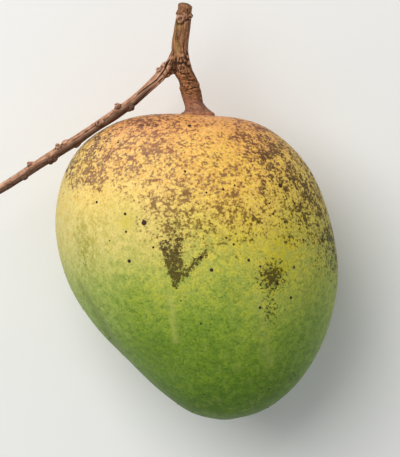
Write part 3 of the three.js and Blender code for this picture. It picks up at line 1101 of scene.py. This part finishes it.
# darker where deep: the bark's own colour and painted shade in its hollows
deep = bark.add(
    bark.times(bark.painted("hollow_tone_and_shade"), 0.62),
    bark.times(bark.add(fibres, -0.5), 1.1),
    bark.times(bark.add(patches, -0.5), 0.7),
    bark.times(bark.add(grit, -0.5), 0.5),
    0.16,
)
BARK_MAIN = [
    (0.05, card(198, 146, 110)),
    (0.3, card(146, 100, 66)),
    (0.55, card(98, 62, 37)),
    (0.85, card(44, 26, 16)),
]
BARK_TWIG = [
    (0.05, card(224, 178, 150)),
    (0.3, card(190, 142, 112)),
    (0.55, card(140, 98, 70)),
    (0.85, card(60, 36, 24)),
]
bark.colour = bark.mix(
    bark.painted("twig"),
    bark.ramp(deep, BARK_MAIN),
    bark.ramp(deep, BARK_TWIG),
)

# %% Bark: film, fork, collar, ring scar, and painted shade under the twig
end_grain = bark.mix(bark.step(fibres, 0.4, 0.65), card(134, 102, 76), card(96, 70, 50))

bark.lay(card(136, 118, 54), bark.painted("moss"), bark.step(fibres, 0.62, 0.36), 0.8)
# the fork's hollows darkened further: its own dark bark and painted shade in the crotch
bark.lay(card(54, 30, 16), bark.painted("fork"), bark.step(deep, 0.34, 0.62), 0.75)
bark.lay(card(232, 214, 178), on_neck, 0.75, blend="MULTIPLY")
bark.lay(card(176, 124, 106), bark.painted("collar"), bark.step(grit, 0.3, 0.62), 0.6)
bark.lay(card(170, 118, 98), bark.painted("ring"), bark.step(patches, 0.5, 0.66), 0.55)
# pale scar rings, partly painted highlight on the side that faces the light
bark.lay(card(208, 160, 136), bark.painted("scar"), 0.75)
# dark scar outlines, and painted shade in the cracks, the groove, the crevices and below the rings
bark.lay(card(44, 26, 17), bark.painted("outline"), 0.85)
# painted shade: the underside of the twig is darkened
bark.lay(card(66, 42, 29), bark.painted("twig_underside_shade"), 0.85)
bark.lay(end_grain, bark.painted("cut"))

# %% Bark: dull, with relief finer than its mesh
roughness = bark.add(0.72, bark.times(fibres, 0.2))
bark.feed(bark.shader.inputs["Roughness"], roughness)
bark.bump(bark.times(deep, -1), 0.6, 0.2 * MM)
bark.put_on(stalk)

# %% [markdown]
# ## Table, light and camera
# The fruit lies on a plain pale table. One large soft light stands at its upper left, so
# that the cheek is brightest towards the stalk's shoulder and falls off to the tip and the
# back. A pale world fills the shadows. The camera hangs over the upper cheek and looks
# straight down, with the stalk towards the top of the picture, far enough away that the
# fruit hardly swells in perspective.

# %% Table
TABLE_SIZE = 6.0
TABLE_DROP = 0.02 * MM  # keeps the table's face off the flat spot's

bpy.ops.object.select_all(action="DESELECT")
bpy.ops.mesh.primitive_plane_add(size=TABLE_SIZE, location=(0, 0, -TABLE_DROP))
table = bpy.context.object
table.name = "table"
table_top = Finish("pale table", roughness=0.8, specular=0.2)
table_cloud = table_top.noise(120 * MM, 2)
table_top.colour = table_top.mix(table_cloud, card(232, 232, 230), card(240, 240, 238))
table_top.put_on(table)
table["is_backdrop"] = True

# %% Light
KEY_PLACE = (-0.42, 0.42, 0.95)
KEY_SIZE = 0.8
KEY_POWER = 10
KEY_COLOUR = (1, 0.985, 0.96)
WORLD_COLOUR = (0.96, 0.98, 1, 1)
WORLD_STRENGTH = 0.42

bpy.ops.object.light_add(type="AREA", location=KEY_PLACE)
light = bpy.context.object
light.name = "key light"
light.data.shape = "SQUARE"
light.data.size = KEY_SIZE
light.data.energy = KEY_POWER
light.data.color = KEY_COLOUR
light.rotation_mode = "QUATERNION"
light.rotation_quaternion = (light.location - Vector((0, 0, middle_z))).to_track_quat("Z", "Y")

world = bpy.data.worlds.new("pale room")
world.use_nodes = True
background = world.node_tree.nodes["Background"]
background.inputs["Color"].default_value = WORLD_COLOUR
background.inputs["Strength"].default_value = WORLD_STRENGTH
bpy.context.scene.world = world
bpy.context.scene.view_settings.view_transform = "Standard"
print("key light", round((light.location - seat).length, 2), "m from the stalk seat")

# %% Camera
CAMERA_DISTANCE = 0.9  # from the fruit's middle plane
VIEW_HEIGHT = 160.2 * MM  # what the picture's height takes in at that plane
VIEW_FROM_SEAT = Vector((0.4 * MM, -39.9 * MM, 0))
SENSOR = 36

bpy.ops.object.camera_add()
camera = bpy.context.object
camera.location = seat + VIEW_FROM_SEAT + Vector((0, 0, CAMERA_DISTANCE))
camera.rotation_euler = (0, 0, 0)
camera.data.sensor_width = SENSOR
camera.data.lens = SENSOR * CAMERA_DISTANCE / VIEW_HEIGHT
camera.data.clip_start = 10 * MM
bpy.context.scene.camera = camera
print("lens", round(camera.data.lens, 1), "mm")

# %% [markdown]
# ## Sizes
# The finished pieces are meant to be more detailed than the solids, but no larger. The box
# round the solids, kept from the start, and the box round the finished pieces are printed
# side by side.

# %% Sizes: the finished object against the solids
finished_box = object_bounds()
sizes = {
    "cad": [list(corner) for corner in cad_box],
    "visual": [list(corner) for corner in finished_box],
}
for name, (low, high) in zip(sizes, (cad_box, finished_box)):
    print(name, [round(size / MM, 2) for size in high - low], "mm")
